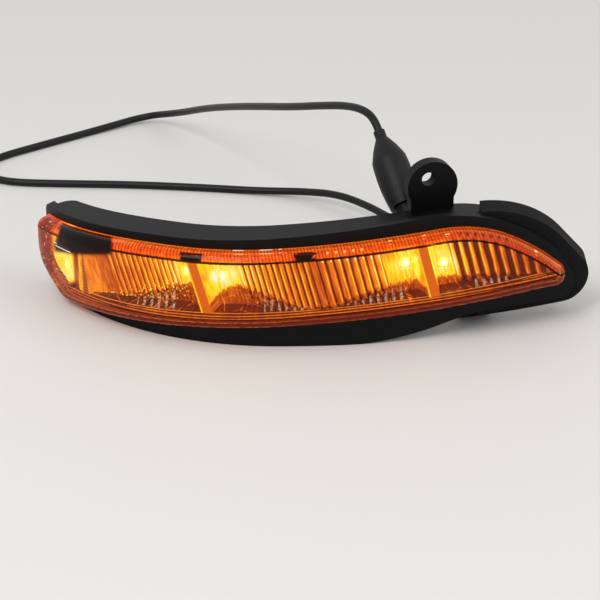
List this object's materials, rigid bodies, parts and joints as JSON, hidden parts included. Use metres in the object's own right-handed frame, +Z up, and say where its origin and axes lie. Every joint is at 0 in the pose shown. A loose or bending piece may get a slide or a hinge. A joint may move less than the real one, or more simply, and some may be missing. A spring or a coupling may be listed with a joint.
{
  "type": "mirror turn signal lamp",
  "caption": "Long curved amber side marker for a door mirror: black housing with fixing ear, clear cover, fluted reflector, light emitting diodes, rubber boot and lead with connector",
  "frame": {"origin": "Middle of the lamp's own box in plan, without the lead and its connector, at the level of the surface that it stands on.", "axes": "X runs along the lamp, its pointed end at +X and the end that wraps round at -X; the cover faces -Y; Z is up."},
  "size_m": [0.2552, 0.2469, 0.0725],
  "materials": {
    "black_plastic": "moulded black ABS, fine satin grain",
    "clear_cover": "clear moulded polycarbonate, polished",
    "clear_insert": "clear moulded acrylic, polished facets",
    "adhesive": "cured black lamp adhesive",
    "mirror_metal": "vacuum aluminised over moulded plastic, bright",
    "foam": "closed cell foam rubber, matt",
    "board": "white solder mask over glass fibre board",
    "diode": "white package with amber phosphor dome",
    "component": "black epoxy and ceramic chip parts",
    "header_plastic": "natural nylon",
    "screw_steel": "zinc plated steel",
    "wire_jacket": "thin PVC wire jacket",
    "rubber_black": "moulded black rubber",
    "lead_jacket": "black PVC lead jacket, satin",
    "terminal_brass": "tin flashed brass"
  },
  "bodies": {
    "root": {"rear_housing": "black_plastic", "outer_lens": "clear_cover", "lens_bond": "adhesive", "reflector": "mirror_metal", "end_light_guide": "clear_insert", "tip_seal": "foam", "main_board": "board", "led_board_1": "board", "led_board_2": "board", "end_led_board": "board", "led_1": "diode", "led_2": "diode", "led_3": "diode", "led_4": "diode", "led_5": "diode", "resistors": "component", "driver_chip": "component", "wire_header": "header_plastic", "board_screws": "screw_steel", "reflector_screws": "screw_steel", "jumper_wires": "wire_jacket", "inner_wires": "wire_jacket", "cable_boot": "rubber_black", "vent_cap": "rubber_black", "lead": "lead_jacket", "connector_plug": "black_plastic", "plug_terminals": "terminal_brass"}
  },
  "joints": []
}
